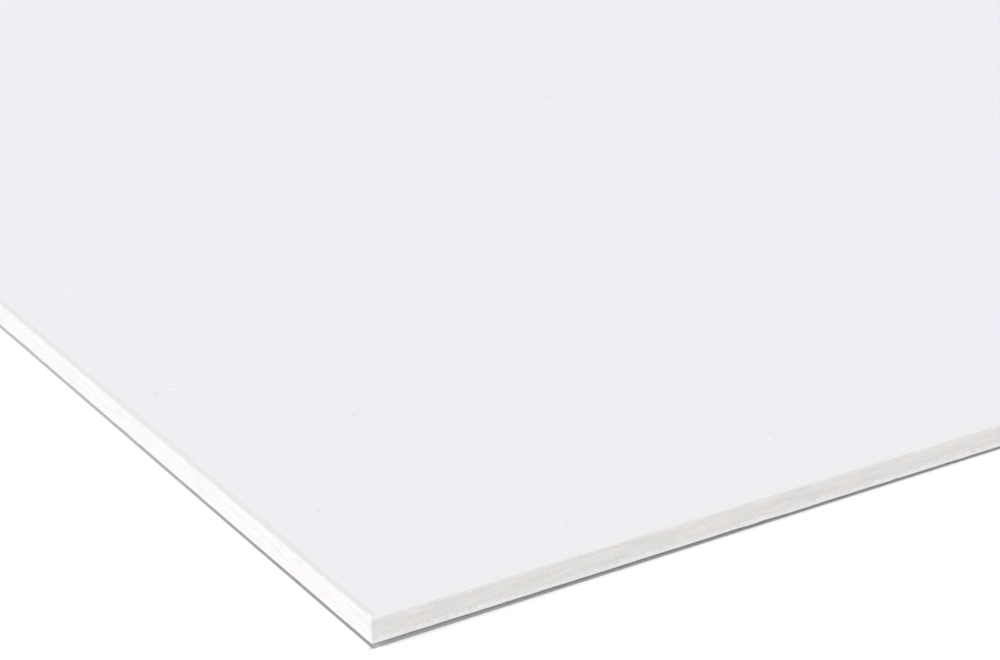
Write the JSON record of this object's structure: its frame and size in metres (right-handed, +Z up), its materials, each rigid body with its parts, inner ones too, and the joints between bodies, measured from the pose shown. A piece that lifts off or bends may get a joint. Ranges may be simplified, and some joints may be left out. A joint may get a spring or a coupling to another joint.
{
  "type": "pvc foam board",
  "caption": "Flat rectangular sheet of white rigid foamed PVC with smooth satin skins and square sawn edges, for signs, panelling and cladding.",
  "frame": {"origin": "middle of the lower face, which lies on the floor", "axes": "+X along the sheet's length, +Y across its width, +Z up through its thickness"},
  "size_m": [1.22, 0.61, 0.006],
  "materials": {
    "white_foam_pvc": "satin matt white skins on both faces, fine-celled sawn edges of a slightly warmer white"
  },
  "bodies": {
    "root": {"foam_board": "white_foam_pvc"}
  },
  "joints": []
}
